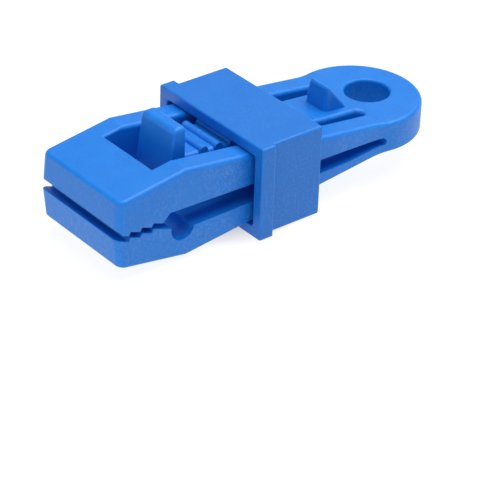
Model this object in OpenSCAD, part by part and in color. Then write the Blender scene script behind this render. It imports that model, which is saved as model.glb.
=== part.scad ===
// Tarp clip: a pair of toothed jaws on two sprung arms that meet at a round eye lug,
// closed by a rectangular collar that slides along the tapered arms. A latch tongue
// lies in the upper arm's window, with ratchet ribs, a thumb tab and, at its root, a
// wedge that stops the collar. Millimetres, +X towards the jaws, +Y across, +Z up,
// with the origin at the eye hole's centre on the middle plane.

/* [Eye lug] */
// Radius of the round lug
lug_r = 13; // [12.9:0.1:15.6]
// Thickness of the lug
lug_t = 6.4; // [5.4:0.1:7.6]
// Diameter of the eye hole
eye_d = 9; // [7.5:0.5:10.5]
// Distance from the eye hole's centre forward to the lug's centre
eye_off = 2.8; // [2.5:0.1:3.5]
// Rounding of the eye hole's two rims
rim_r = 0.6; // [0.3:0.1:1.2]

/* [Arms] */
// Width of both arms
arm_w = 24.6; // [20:0.1:24.7]
// Distance from the eye's centre to where the arms begin to rise from the lug
rise_x = 5.2; // [4.4:0.1:5.4]
// Distance from the eye's centre to the ridge, the thickest place of the arms
ridge_x = 54; // [50:0.5:65]
// Height of each ridge above or below the middle plane
ridge_z = 9.1; // [8.2:0.1:11]
// Length of the jaws from the ridge to their lips
jaw_len = 15.8; // [13.2:0.1:19]
// Fall of the outer face from the ridge to the front edge of a jaw
jaw_fall = 2.3; // [1:0.1:2.8]
// Reach of the lips past the front edges of the jaws
lip_reach = 0.7; // [0.3:0.1:1.5]
// Rounding of the lug's rim and of the upper arm's outer edges
edge_r = 0.9; // [0.4:0.1:1.2]
// Rounding of the lower arm's bottom edges
under_edge_r = 0.5; // [0.3:0.1:1.2]
// Rounding of the upright corners at the front of the jaws
jaw_corner_r = 1.6; // [1:0.1:2.5]

/* [Slit between the arms] */
// Distance from the eye's centre to the closed end of the slit
slit_x = 5.6; // [5.5:0.1:5.9]
// Height of the slit at its closed end
slit_end_h = 1.5; // [1.2:0.1:1.7]
// Depth of the closed end's middle below the middle plane
slit_end_drop = 0.7; // [0.6:0.05:0.8]
// Thickness of the lower arm where it bends, next to the lug
lower_root_t = 1.9; // [1.6:0.1:2]
// Distance from the slit's end to where the lower arm begins to thicken
lower_root_len = 8.9; // [8:0.1:10]
// Height of the slit's roof above the middle plane, just behind the teeth
throat_top_z = 1.15; // [0.6:0.05:1.4]
// Depth of the slit's floor below the middle plane, just behind the rope channel
throat_low_z = 3.4; // [3.2:0.05:3.8]

/* [Teeth] */
// Number of steep tooth faces along each jaw
tooth_count = 3; // [2:1:3]
// Distance from one steep face to the next
tooth_pitch = 2.55; // [2.2:0.05:2.7]
// Height of a tooth
tooth_h = 0.73; // [0.5:0.01:0.9]
// Run of the steep face along the jaw
tooth_run = 0.45; // [0.2:0.05:0.8]
// Gap between the upper and the lower teeth as the clip lies
bite_gap = 1.2; // [1:0.1:1.6]
// Depth of the bite's middle below the middle plane
bite_drop = 0.65; // [0.6:0.05:0.7]
// Distance from the lips back to the first tooth
tooth_back = 2.7; // [2.3:0.1:3]
// Height of the slanted relief under the upper lip, above the middle plane
lip_relief_z = 1.5; // [1:0.1:2]
// Length of the slanted relief under the upper lip
lip_relief_len = 1.5; // [1:0.1:1.8]

/* [Rope channel behind the teeth] */
// Radius of the round channel in the lower jaw
channel_r = 2.6; // [2.2:0.1:2.7]
// Distance from the last tooth back to the channel's middle
channel_back = 4.6; // [4.4:0.1:5]
// Depth of the channel's middle below the middle plane
channel_drop = 2.9; // [2.5:0.1:3]
// Length of the slanted relief above the channel, in the upper jaw
channel_relief_len = 1.6; // [1:0.1:2]

/* [Window] */
// Width of the window in the upper arm
window_w = 14.8; // [13:0.1:16]
// Length of the solid bar ahead of the window
window_bar = 11.2; // [10.8:0.1:12]
// Distance from the closed slit end to the window's rear end
window_back = 0.9; // [0.6:0.1:1.2]

/* [Latch tongue] */
// Width of the tongue and its thumb tab
tongue_w = 10.4; // [8:0.1:11]
// Depth of the tongue's top below the arm's outer face, at the thumb tab
tongue_sink = 1.4; // [1.1:0.1:1.5]
// Thickness of the tongue where it bends
tongue_root_t = 2.1; // [1.8:0.1:2.6]
// Thickness of the tongue under the thumb tab's rear face
tongue_tip_t = 4.4; // [4:0.1:4.8]
// Space between the thumb tab's foot and the front of the window
tab_gap = 5.9; // [5.2:0.1:6.4]
// Length of the thumb tab at its foot
tab_foot_len = 3.7; // [3.4:0.1:4.2]
// Length of the thumb tab at its top
tab_top_len = 2.6; // [2.2:0.1:3]
// Height of the thumb tab's top above the arm's outer face
tab_rise = 4.55; // [3:0.1:6]
// Rounding of the thumb tab's upright edges
tab_corner_r = 0.9; // [0.4:0.1:1]
// Rounding of the thumb tab's top edges, front and rear, and of its foot
tab_top_r = 0.6; // [0.3:0.1:1]

/* [Ratchet ribs] */
// Number of rounded ribs across the tongue
rib_count = 3; // [2:1:3]
// Distance from one rib to the next
rib_pitch = 3.5; // [3:0.1:3.7]
// Radius of a rib's round crest
rib_r = 1; // [0.9:0.05:1.1]
// Distance from the thumb tab's rear face back to the first rib's middle
rib_back = 4.2; // [3.6:0.1:4.5]
// Height of the crests above the tongue's top
rib_rise = 0.8; // [0.5:0.05:0.85]
// Depth that each rib's ends stand in from the tongue's sides
rib_inset = 0.2; // [0.1:0.05:0.5]

/* [Stop wedge] */
// Distance from the slit's closed end to the foot of the wedge's front face
wedge_front = 8; // [7.5:0.1:8.5]
// Lean of the front face from its foot to its top
wedge_lean = 0.7; // [0.3:0.1:1]
// Length of the wedge from its front foot to the tip of its ramp
wedge_len = 5.6; // [5:0.1:6]
// Width of the wedge at its foot
wedge_w = 6.2; // [4:0.1:7]
// Width of the wedge at its top
wedge_top_w = 5.4; // [3.5:0.1:5.4]
// Height of the wedge's top above the roof of the collar's passage
wedge_catch = 1.5; // [0.8:0.1:1.6]
// Rounding of the wedge's top edge
wedge_top_r = 0.4; // [0.2:0.1:0.6]

/* [Sliding collar] */
// Distance from the eye's centre to the collar's rear face as the clip lies
collar_x = 24.1; // [20:0.1:26]
// Length of the collar
collar_len = 15.3; // [12.8:0.1:18]
// Length of the thicker rim at the collar's front
collar_rim_len = 3.2; // [2:0.1:4]
// Thickness of the collar's side walls
collar_side_t = 1.25; // [1:0.05:2]
// Thickness of the collar's top and bottom walls
collar_top_t = 2; // [1.2:0.1:2.6]
// Height of the rim over the side walls
collar_rim_side = 1.15; // [0.6:0.05:1.5]
// Height of the rim over the top and bottom walls
collar_rim_top = 0.3; // [0.2:0.05:1]
// Gap between the collar's passage and the widest place that passes it, each side
collar_side_gap = 0.5; // [0.3:0.05:1]
// Gap above and below the arms at the collar's front face
collar_arm_gap = 0.22; // [0.2:0.01:0.3]
// Rounding of the collar's long outer edges
collar_edge_r = 0.6; // [0.3:0.1:0.9]
// Bevel around the collar's front and rear faces and around its rim
collar_bevel = 0.35; // [0.2:0.05:0.5]
// Rounding of the passage's inner corners
collar_inner_r = 0.8; // [0.3:0.1:1]

/* [Bending roots] */
// Length of the stretch where each arm and the tongue bend
bend_len = 4; // [3:0.1:5]

/* [Hidden] */
$fn = 96;

// Moulded plastic colours of the body and of the collar
body_blue = [0.16, 0.49, 0.90];
collar_blue = [0.14, 0.45, 0.86];

// Overrun of the cutting shapes past the faces that they cut
overrun = 1;
// Sides of the small circles that round the turned edges of the lug
turned_sides = 32;

// Worked-out places are rounded to this step, as on a drawing
drawn_step = 0.01;
function drawn(v) = round(v / drawn_step) * drawn_step;

// Lug
lug_half = lug_t / 2;
eye_r = eye_d / 2;
arm_half_w = arm_w / 2;

// Places along the arms
lip_x = ridge_x + jaw_len;
front_x = lip_x - lip_reach;
front_z = ridge_z - jaw_fall;
reach = lip_x + lug_r;

// Rise of the arms' outer faces, straight from the lug to the ridge
arm_slope = (ridge_z - lug_half) / (ridge_x - rise_x);
arm_angle = atan(arm_slope);
jaw_angle = atan(jaw_fall / (front_x - ridge_x));
function arm_z(x) = lug_half + arm_slope * (x - rise_x);

// Bending stretches: the lug's round edge meets the arms' sides at bend_x
bend_x = drawn(eye_off + sqrt(lug_r * lug_r - arm_half_w * arm_half_w));
bend_end_x = bend_x + bend_len;
neck_half = drawn(arm_z(bend_x));

// Slit
slit_r = slit_end_h / 2;
slit_cx = slit_x + slit_r;
lower_root_x = slit_x + lower_root_len;

// Teeth: tips of the upper jaw, which the lower jaw follows one gap below
tread_slope = tooth_h / (tooth_pitch - tooth_run);
tooth_x = [for (k = [0:tooth_count]) lip_x - tooth_back - k * tooth_pitch];
upper_tip_z = drawn((bite_gap - tooth_h) / 2 - bite_drop);
upper_root_z = upper_tip_z + tooth_h;
lower_low_z = upper_tip_z - bite_gap;
lower_high_z = lower_low_z + tooth_h;
lip_foot_x = lip_x - lip_relief_len;
lip_foot_z = drawn(upper_tip_z + tread_slope * (lip_foot_x - tooth_x[0]));
lip_relief_slope = (lip_relief_z - lip_foot_z) / lip_relief_len;

// Rope channel
channel_x = tooth_x[tooth_count] - channel_back;
tread_end_x = channel_x + channel_r;
last_tread_x = tooth_x[tooth_count - 1] - tooth_run;
tread_end_z = drawn(lower_high_z - tread_slope * (last_tread_x - tread_end_x));
throat_x = tooth_x[tooth_count] - channel_relief_len;

// Window and tongue
window_x = slit_x + window_back;
window_front_x = lip_x - window_bar;
window_half = window_w / 2;
tongue_half = tongue_w / 2;
tab_front_x = window_front_x - tab_gap;
tab_rear_x = tab_front_x - tab_foot_len;
tab_top_z = drawn(arm_z(tab_rear_x) + tab_rise);
tongue_tip_z = drawn(arm_z(tab_rear_x) - tongue_sink);
tongue_slope = (tongue_tip_z - lug_half) / (tab_rear_x - rise_x);
function tongue_z(x) = lug_half + tongue_slope * (x - rise_x);
rib_x = [for (k = [0:rib_count - 1]) tab_rear_x - rib_back - k * rib_pitch];

// Collar: its passage clears the lug, the arms' width and the arms at the front face
collar_front_x = collar_x + collar_len;
passage_half_w = max(lug_r, arm_half_w) + collar_side_gap;
passage_half_h = drawn(arm_z(collar_front_x) + collar_arm_gap);
collar_half_w = passage_half_w + collar_side_t;
collar_half_h = passage_half_h + collar_top_t;

// Wedge, and the tongue's bending stretch ahead of it
wedge_x = slit_x + wedge_front;
wedge_top_z = passage_half_h + wedge_catch;
tongue_bend_x = wedge_x + wedge_lean / 2;
tongue_bend_end_x = tongue_bend_x + bend_len;
tongue_root_z = drawn(tongue_z(tongue_bend_x) - tongue_root_t);
tongue_under_slope = (tongue_tip_z - tongue_tip_t - tongue_root_z) / (tab_rear_x - tongue_bend_x);
tab_foot_z = drawn(tongue_root_z + tongue_under_slope * (tab_front_x - tongue_bend_x));

// Direction of a vector, and the parts of a round between two edges that meet at p
function unit(v) = v / norm(v);
function half_angle(p, a, b) = acos(unit(a - p) * unit(b - p)) / 2;
function round_end(p, a, b, r) = p + unit(a - p) * r / tan(half_angle(p, a, b));
function round_mid(p, a, b, r) =
    p + unit(unit(a - p) + unit(b - p)) * r / sin(half_angle(p, a, b));

// What a round of radius r takes off an outline's corner p between points a and b
module corner_waste(p, a, b, r) {
    mid = round_mid(p, a, b, r);
    end_a = round_end(p, a, b, r);
    end_b = round_end(p, b, a, r);
    out = unit(p - mid) * overrun;
    difference() {
        polygon([mid, end_a, end_a + out, p + out, end_b + out, end_b]);
        translate(mid)
            circle(r);
    }
}

// Rectangle about the origin with round corners
module round_rect(w, h, r) {
    square([w - 2 * r, h], center = true);
    square([w, h - 2 * r], center = true);
    for (sx = [-1, 1], sy = [-1, 1])
        translate([sx * (w / 2 - r), sy * (h / 2 - r)])
            circle(r);
}

// Side outline (X along the clip, Y up) made solid across the clip
module across(width) {
    rotate([90, 0, 0])
        linear_extrude(height = width, center = true)
            children();
}

// Front outline (X across the clip, Y up) made solid along the clip
module along(x, length) {
    translate([x, 0, 0])
        rotate([90, 0, 90])
            linear_extrude(height = length)
                children();
}

// The stretch of a solid between two places along the clip
module stretch(x0, x1) {
    intersection() {
        children();
        translate([x0, -reach, -reach])
            cube([x1 - x0, 2 * reach, 2 * reach]);
    }
}

// Rectangle about the origin with bevelled corners
module bevel_rect(w, h, c) {
    polygon([
        [w / 2 - c, h / 2], [w / 2, h / 2 - c], [w / 2, c - h / 2], [w / 2 - c, -h / 2],
        [c - w / 2, -h / 2], [-w / 2, c - h / 2], [-w / 2, h / 2 - c], [c - w / 2, h / 2]
    ]);
}

// Block from x0 to x1 about the clip's axis, with its long edges round and the others bevelled
module collar_block(x0, x1, half_w, half_h) {
    length = x1 - x0;
    intersection() {
        along(x0, length)
            round_rect(2 * half_w, 2 * half_h, collar_edge_r);
        translate([x0 + length / 2, 0, 0])
            linear_extrude(height = 2 * half_h, center = true)
                bevel_rect(length, 2 * half_w, collar_bevel);
        translate([x0 + length / 2, 0, 0])
            across(2 * half_w)
                bevel_rect(length, 2 * half_h, collar_bevel);
    }
}

// Round plate with round edges, about the lug's centre
module round_plate(half_t) {
    translate([eye_off, 0, 0])
        rotate_extrude() {
            translate([0, -half_t])
                square([lug_r - edge_r, 2 * half_t]);
            translate([0, edge_r - half_t])
                square([lug_r, 2 * (half_t - edge_r)]);
            for (s = [-1, 1])
                translate([lug_r - edge_r, s * (half_t - edge_r)])
                    circle(edge_r, $fn = turned_sides);
        }
}

// Eye hole with its two round rims
module eye_hole() {
    rotate_extrude() {
        translate([0, -lug_half - overrun])
            square([eye_r, lug_t + 2 * overrun]);
        for (s = [0, 1])
            mirror([0, s])
                translate([0, lug_half - rim_r])
                    difference() {
                        square([eye_r + rim_r, rim_r + overrun]);
                        translate([eye_r + rim_r, 0])
                            circle(rim_r, $fn = turned_sides);
                    }
    }
}

// Side outline of the closed arms, with round front edges
module arms_outline() {
    nose = [lip_x, -bite_drop];
    top_ridge = [ridge_x, ridge_z];
    top_front = [front_x, front_z];
    low_ridge = [ridge_x, -ridge_z];
    low_front = [front_x, -front_z];
    difference() {
        polygon([
            [rise_x, lug_half], top_ridge, top_front, nose,
            low_front, low_ridge, [rise_x, -lug_half]
        ]);
        corner_waste(top_front, top_ridge, nose, edge_r);
        corner_waste(low_front, low_ridge, nose, under_edge_r);
    }
}

// Side outline of the open space between the arms: bite, rope channel and slit
module mouth_outline() {
    polygon(concat(
        [[lip_x + overrun, lip_relief_z + lip_relief_slope * overrun], [lip_foot_x, lip_foot_z]],
        [for (k = [0:tooth_count - 1], step = [0, 1])
            [tooth_x[k] - step * tooth_run, upper_tip_z + step * tooth_h]],
        [[tooth_x[tooth_count], upper_tip_z], [throat_x, throat_top_z]],
        [[slit_cx, slit_r - slit_end_drop], [slit_cx, -slit_r - slit_end_drop]],
        [[lower_root_x, lower_root_t - arm_z(lower_root_x)], [channel_x, -throat_low_z]],
        [[tread_end_x, tread_end_z]],
        [for (k = [tooth_count - 1:-1:0], step = [1, 0])
            [tooth_x[k] - step * tooth_run, lower_low_z + step * tooth_h]],
        [[lip_x + overrun, lower_low_z + tread_slope * (lip_x + overrun - tooth_x[0])]]
    ));
    translate([channel_x, -channel_drop])
        circle(channel_r);
    translate([slit_cx, -slit_end_drop])
        circle(slit_r);
}

// What the rounding takes off one long outer edge that starts at [x, z]
module long_edge_waste(x, z, angle, r) {
    for (side = [0, 1])
        mirror([0, side, 0])
            translate([x, arm_half_w - r, z])
                rotate([0, -angle, 0])
                    translate([-reach, 0, -r])
                        difference() {
                            cube([2 * reach, r + overrun, r + overrun]);
                            rotate([0, 90, 0])
                                cylinder(r = r, h = 2 * reach);
                        }
}

// What the rounding takes off both upright corners of a jaw's front face, which leans
// back from the lip at height nose_z
module upright_corner_waste(nose_z) {
    lean = atan(lip_reach / (front_z - nose_z));
    for (side = [0, 1])
        mirror([0, side, 0])
            translate([lip_x, 0, nose_z])
                rotate([0, -lean, 0])
                    translate([0, 0, -overrun])
                        linear_extrude(height = reach)
                            difference() {
                                translate([-jaw_corner_r, arm_half_w - jaw_corner_r])
                                    square(jaw_corner_r + overrun);
                                translate([-jaw_corner_r, arm_half_w - jaw_corner_r])
                                    circle(jaw_corner_r);
                            }
}

// What the rounding takes off an upper arm with its lip at height nose_z
module arm_waste(nose_z, r) {
    long_edge_waste(ridge_x, ridge_z, arm_angle, r);
    long_edge_waste(ridge_x, ridge_z, -jaw_angle, r);
    upright_corner_waste(nose_z);
}

// Both arms from the lug to the lips with sharp edges, parted by the mouth
module sharp_arms() {
    across(arm_w)
        difference() {
            arms_outline();
            mouth_outline();
        }
}

// Opening of the upper arm's window, from above down to the slit
module window_space() {
    translate([window_x, -window_half, -bite_drop])
        cube([window_front_x - window_x, window_w, reach]);
}

// Upper arm and jaw over their whole length: two rails, and the bar ahead of the window
module upper_arm_whole() {
    difference() {
        intersection() {
            sharp_arms();
            translate([0, -reach, -bite_drop])
                cube([reach, 2 * reach, reach]);
        }
        arm_waste(-bite_drop, edge_r);
        window_space();
    }
}

// Lower arm and jaw over their whole length
module lower_arm_whole() {
    difference() {
        intersection() {
            sharp_arms();
            translate([0, -reach, -bite_drop - reach])
                cube([reach, 2 * reach, reach]);
        }
        mirror([0, 0, 1])
            arm_waste(bite_drop, under_edge_r);
    }
}

// Side outline of the tongue, with the thumb tab
module tongue_outline() {
    tab_rear_top = [tab_rear_x, tab_top_z];
    tab_front_top = [tab_rear_x + tab_top_len, tab_top_z];
    tab_foot = [tab_front_x, tab_foot_z];
    difference() {
        polygon([
            [tongue_bend_x, tongue_root_z], [tongue_bend_x, tongue_z(tongue_bend_x)],
            [tab_rear_x, tongue_tip_z], tab_rear_top, tab_front_top, tab_foot
        ]);
        corner_waste(tab_rear_top, [tab_rear_x, tongue_tip_z], tab_front_top, tab_top_r);
        corner_waste(tab_front_top, tab_rear_top, tab_foot, tab_top_r);
        corner_waste(tab_foot, tab_front_top, [tongue_bend_x, tongue_root_z], tab_top_r);
    }
}

// Tongue and tab ahead of the wedge, with round upright edges at both faces of the tab
module tongue_whole() {
    tab_lean = atan((tab_foot_len - tab_top_len) / (tab_top_z - tab_foot_z));
    difference() {
        across(tongue_w)
            tongue_outline();
        for (side = [0, 1])
            mirror([0, side, 0]) {
                translate([tab_rear_x, tongue_half, tongue_tip_z])
                    linear_extrude(height = tab_top_z)
                        corner_waste([0, 0], [tab_corner_r, 0], [0, -tab_corner_r], tab_corner_r);
                translate([tab_front_x, tongue_half, tab_foot_z])
                    rotate([0, -tab_lean, 0])
                        translate([0, 0, -tab_top_z])
                            linear_extrude(height = 2 * tab_top_z)
                                corner_waste(
                                    [0, 0], [-tab_corner_r, 0], [0, -tab_corner_r], tab_corner_r
                                );
            }
    }
}

// Rounded ratchet ribs across the tongue
module ribs() {
    for (x = rib_x)
        translate([x, 0, tongue_z(x) + rib_rise - rib_r])
            rotate([90, 0, 0])
                cylinder(r = rib_r, h = tongue_w - 2 * rib_inset, center = true);
}

// Root of the tongue, from inside the lug to its bending stretch
module tongue_base() {
    across(tongue_w)
        polygon([
            [rise_x, 0], [rise_x, lug_half], [tongue_bend_x, tongue_z(tongue_bend_x)],
            [tongue_bend_x, tongue_root_z], [slit_cx, slit_r - slit_end_drop], [slit_cx, 0]
        ]);
}

// Wedge that stops the collar, with its ramp towards the eye
module wedge() {
    foot = [wedge_x, tongue_z(wedge_x)];
    top = [wedge_x - wedge_lean, wedge_top_z];
    tip = [wedge_x - wedge_len, tongue_z(wedge_x - wedge_len)];
    sink = [0, tongue_root_t / 2];
    intersection() {
        across(wedge_w)
            difference() {
                polygon([foot, top, tip, tip - sink, foot - sink]);
                corner_waste(top, foot, tip, wedge_top_r);
            }
        along(0, reach)
            difference() {
                polygon([
                    [-wedge_w / 2, 0], [-wedge_w / 2, foot[1]],
                    [-wedge_top_w / 2, wedge_top_z], [wedge_top_w / 2, wedge_top_z],
                    [wedge_w / 2, foot[1]], [wedge_w / 2, 0]
                ]);
                for (side = [0, 1])
                    mirror([side, 0])
                        corner_waste(
                            [wedge_top_w / 2, wedge_top_z], [0, wedge_top_z],
                            [wedge_w / 2, foot[1]], wedge_top_r
                        );
            }
    }
}

// Root of the clip: round lug, fork of the arms, root of the tongue and the wedge
module eye_lug() {
    color(body_blue) {
        difference() {
            union() {
                stretch(-reach, rise_x)
                    round_plate(lug_half);
                intersection() {
                    stretch(rise_x, bend_x)
                        round_plate(neck_half);
                    across(2 * reach)
                        arms_outline();
                }
            }
            eye_hole();
            across(2 * reach)
                mouth_outline();
            window_space();
        }
        tongue_base();
        wedge();
    }
}

// Bending stretches of the upper arm's two rails
module upper_arm_bend() {
    color(body_blue)
        stretch(bend_x, bend_end_x)
            upper_arm_whole();
}

// Thin bending stretch of the lower arm
module lower_arm_bend() {
    color(body_blue)
        stretch(bend_x, bend_end_x)
            lower_arm_whole();
}

// Bending stretch of the tongue
module tongue_bend() {
    color(body_blue)
        stretch(tongue_bend_x, tongue_bend_end_x)
            tongue_whole();
}

// Upper arm ahead of its bending stretches, with the upper jaw
module upper_jaw_arm() {
    color(body_blue)
        stretch(bend_end_x, reach)
            upper_arm_whole();
}

// Lower arm ahead of its bending stretch, with the lower jaw
module lower_jaw_arm() {
    color(body_blue)
        stretch(bend_end_x, reach)
            lower_arm_whole();
}

// Tongue ahead of its bending stretch, with ribs and thumb tab
module latch_tongue() {
    color(body_blue) {
        stretch(tongue_bend_end_x, reach)
            tongue_whole();
        ribs();
    }
}

// Rectangular collar with its thicker front rim
module slide_collar() {
    rim_x = collar_front_x - collar_rim_len;
    color(collar_blue)
        difference() {
            union() {
                collar_block(
                    collar_x, rim_x + collar_rim_len / 2, collar_half_w, collar_half_h
                );
                collar_block(
                    rim_x, collar_front_x,
                    collar_half_w + collar_rim_side, collar_half_h + collar_rim_top
                );
            }
            along(collar_x - overrun, collar_len + 2 * overrun)
                round_rect(2 * passage_half_w, 2 * passage_half_h, collar_inner_r);
        }
}

eye_lug();
upper_arm_bend();
lower_arm_bend();
tongue_bend();
upper_jaw_arm();
lower_jaw_arm();
latch_tongue();
slide_collar();
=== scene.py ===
"""Tarp clip: the visible pieces of the moulded body and its sliding collar, in the CAD's frame.

Every outline is given in millimetres, in the CAD's frame: +X towards the jaws, +Y across,
+Z up along the eye hole. The finished meshes are scaled to metres.
"""
import logging
import math
from collections.abc import Callable, Iterator, Mapping, Sequence
from contextlib import contextmanager
from dataclasses import dataclass
from enum import Enum

import bmesh
import bpy
from mathutils import Matrix, Vector


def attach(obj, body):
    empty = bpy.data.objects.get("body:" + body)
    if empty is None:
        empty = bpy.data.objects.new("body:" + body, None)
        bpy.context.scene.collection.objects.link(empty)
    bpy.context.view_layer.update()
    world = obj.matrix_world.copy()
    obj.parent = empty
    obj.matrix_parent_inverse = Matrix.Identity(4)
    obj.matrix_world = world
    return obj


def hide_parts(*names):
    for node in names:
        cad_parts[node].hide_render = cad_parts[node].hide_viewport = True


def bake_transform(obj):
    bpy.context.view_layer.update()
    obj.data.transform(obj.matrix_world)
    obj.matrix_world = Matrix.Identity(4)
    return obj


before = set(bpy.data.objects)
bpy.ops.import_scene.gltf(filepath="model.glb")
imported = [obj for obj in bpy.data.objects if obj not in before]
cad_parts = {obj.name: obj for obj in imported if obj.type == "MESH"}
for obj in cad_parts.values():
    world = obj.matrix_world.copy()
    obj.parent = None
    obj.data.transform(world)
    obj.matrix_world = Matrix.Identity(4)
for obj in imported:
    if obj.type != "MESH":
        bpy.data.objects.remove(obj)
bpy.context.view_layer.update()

log = logging.getLogger("tarp_clip")

Point = tuple[float, float]
Colour = tuple[float, float, float]
Place = tuple[float, float, float]
Socket = bpy.types.NodeSocket

MM = 0.001
# The mesh attribute that marks edge wear and a painted highlight on the rounded crests.
WEAR_AND_HIGHLIGHT = "wear_and_highlight"
ARC_STEP = 3.75
ROUND_STRIPS = 6
BEND_LOOPS = 7
# The least angle of a crest, of an edge to round and of a sharp edge, and the largest one taken as flat.
CREST_ANGLE, ROUND_ANGLE, SHARP_ANGLE, FLAT_ANGLE = (math.radians(a) for a in (3.0, 5.0, 35.0, 0.2))
# Distances in millimetres: points that merge, a cut's reach, close and near places, a tool's overrun.
MERGE, CUT_SLACK, SNUG, NEAR, OVERRUN = 1e-4, 1e-5, 0.01, 0.1, 1.0
# The least share of a direction along an axis that it mostly or fully follows.
MOSTLY, FULLY = 0.9, 0.99


class Body(Enum):
    """The CAD's bodies, by what they are on the clip."""

    ROOT = "body_root"
    UPPER_JAW = "upper_jaw"
    LOWER_JAW = "lower_jaw"
    TONGUE = "tongue"
    COLLAR = "collar"


class Slot(Enum):
    """The record's material slots."""

    BODY = "body_plastic"
    COLLAR = "collar_plastic"


class Cut(Enum):
    """Ways to combine two solids."""

    KEEP_COMMON = "INTERSECT"
    TAKE_AWAY = "DIFFERENCE"
    JOIN = "UNION"


class Surface(Enum):
    """Kinds of face, kept in the material index until a piece is dressed."""

    PLAIN = 0
    ROUNDING = 1


class Facing(Enum):
    """Which way an outline faces: the axes of its two coordinates and of its depth."""

    SIDE = (0, 2, 1)
    PLAN = (0, 1, 2)
    FRONT = (1, 2, 0)


@dataclass(frozen=True)
class EdgeSite:
    """Where an edge lies: its middle, its direction and whether it stands out."""

    middle: Vector
    along: Vector
    convex: bool


@contextmanager
def editing(mesh: bpy.types.Mesh) -> Iterator[bmesh.types.BMesh]:
    """Opens a mesh for editing and writes it back afterwards.

    Args:
        mesh: The mesh.

    Yields:
        Its editable form.
    """
    bm = bmesh.new()
    bm.from_mesh(mesh)
    yield bm
    bm.to_mesh(mesh)
    bm.free()


def link(name: str, mesh: bpy.types.Mesh) -> bpy.types.Object:
    """Puts a mesh into the scene as an object.

    Args:
        name: The object's name.
        mesh: Its mesh.

    Returns:
        The new object.
    """
    made = bpy.data.objects.new(name, mesh)
    bpy.context.scene.collection.objects.link(made)
    return made


def prism(name: str, low: Sequence[Vector], high: Sequence[Vector]) -> bpy.types.Object:
    """Makes a closed solid between two outlines with the same number of points.

    Args:
        name: The object's name.
        low: The points of one end.
        high: The matching points of the other end.

    Returns:
        The solid, with its faces turned outwards.
    """
    mesh = bpy.data.meshes.new(name)
    with editing(mesh) as bm:
        first, last = ([bm.verts.new(p) for p in ring] for ring in (low, high))
        bm.faces.new(first)
        bm.faces.new(list(reversed(last)))
        for i in range(len(low)):
            j = (i + 1) % len(low)
            bm.faces.new((first[i], last[i], last[j], first[j]))
        bmesh.ops.recalc_face_normals(bm, faces=bm.faces)
    return link(name, mesh)


def draw_out(
    name: str, facing: Facing, outline: Sequence[Point], low: float, high: float
) -> bpy.types.Object:
    """Draws an outline out into a solid.

    Args:
        name: The object's name.
        facing: Which way the outline faces.
        outline: Its points.
        low: Where the solid starts.
        high: Where it ends.

    Returns:
        The solid.
    """
    ends = []
    for depth in (low, high):
        ring = [Vector() for _ in outline]
        for point, place in zip(ring, outline):
            for axis, value in zip(facing.value, (*place, depth)):
                point[axis] = value
        ends.append(ring)
    return prism(name, *ends)


def rectangle(half_u: float, half_v: float) -> list[Point]:
    """Returns the corners of a rectangle about the origin."""
    return [(-half_u, -half_v), (half_u, -half_v), (half_u, half_v), (-half_u, half_v)]


def arc(centre: Point, r: float, start: float, end: float, step: float = ARC_STEP) -> list[Point]:
    """Lists the points of an arc.

    Args:
        centre: The arc's centre.
        r: Its radius.
        start: The first angle, in degrees.
        end: The last angle, in degrees, above or below the first.
        step: The largest angle between two points, in degrees.

    Returns:
        The points, both ends among them.
    """
    count = max(1, math.ceil(abs(end - start) / step))
    angles = [math.radians(start + (end - start) * i / count) for i in range(count + 1)]
    return [(centre[0] + r * math.cos(a), centre[1] + r * math.sin(a)) for a in angles]


def crossing(a: Point, b: Point, c: Point, d: Point) -> Point:
    """Finds the point where two lines meet.

    Args:
        a: A point of the first line.
        b: Another point of the first line.
        c: A point of the second line.
        d: Another point of the second line.

    Returns:
        The point.
    """
    r, s = Vector(b) - Vector(a), Vector(d) - Vector(c)
    t = (Vector(c) - Vector(a)).cross(s) / r.cross(s)
    return tuple(Vector(a) + r * t)


def settle(work: bpy.types.Object) -> None:
    """Turns an object's modifiers into its plain mesh.

    Args:
        work: The object whose modifiers are used up.
    """
    bpy.context.view_layer.update()
    evaluated = work.evaluated_get(bpy.context.evaluated_depsgraph_get())
    mesh = bpy.data.meshes.new_from_object(evaluated)
    old = work.data
    work.modifiers.clear()
    work.data = mesh
    bpy.data.meshes.remove(old)


def combine(work: bpy.types.Object, tool: bpy.types.Object, cut: Cut) -> None:
    """Combines a solid with a tool solid and removes the tool.

    Args:
        work: The solid that stays.
        tool: The solid that is used up.
        cut: How they are combined.
    """
    modifier = work.modifiers.new("combine", "BOOLEAN")
    modifier.object = tool
    modifier.operation = cut.value
    modifier.solver = "EXACT"
    settle(work)
    bpy.data.objects.remove(tool)


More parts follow.
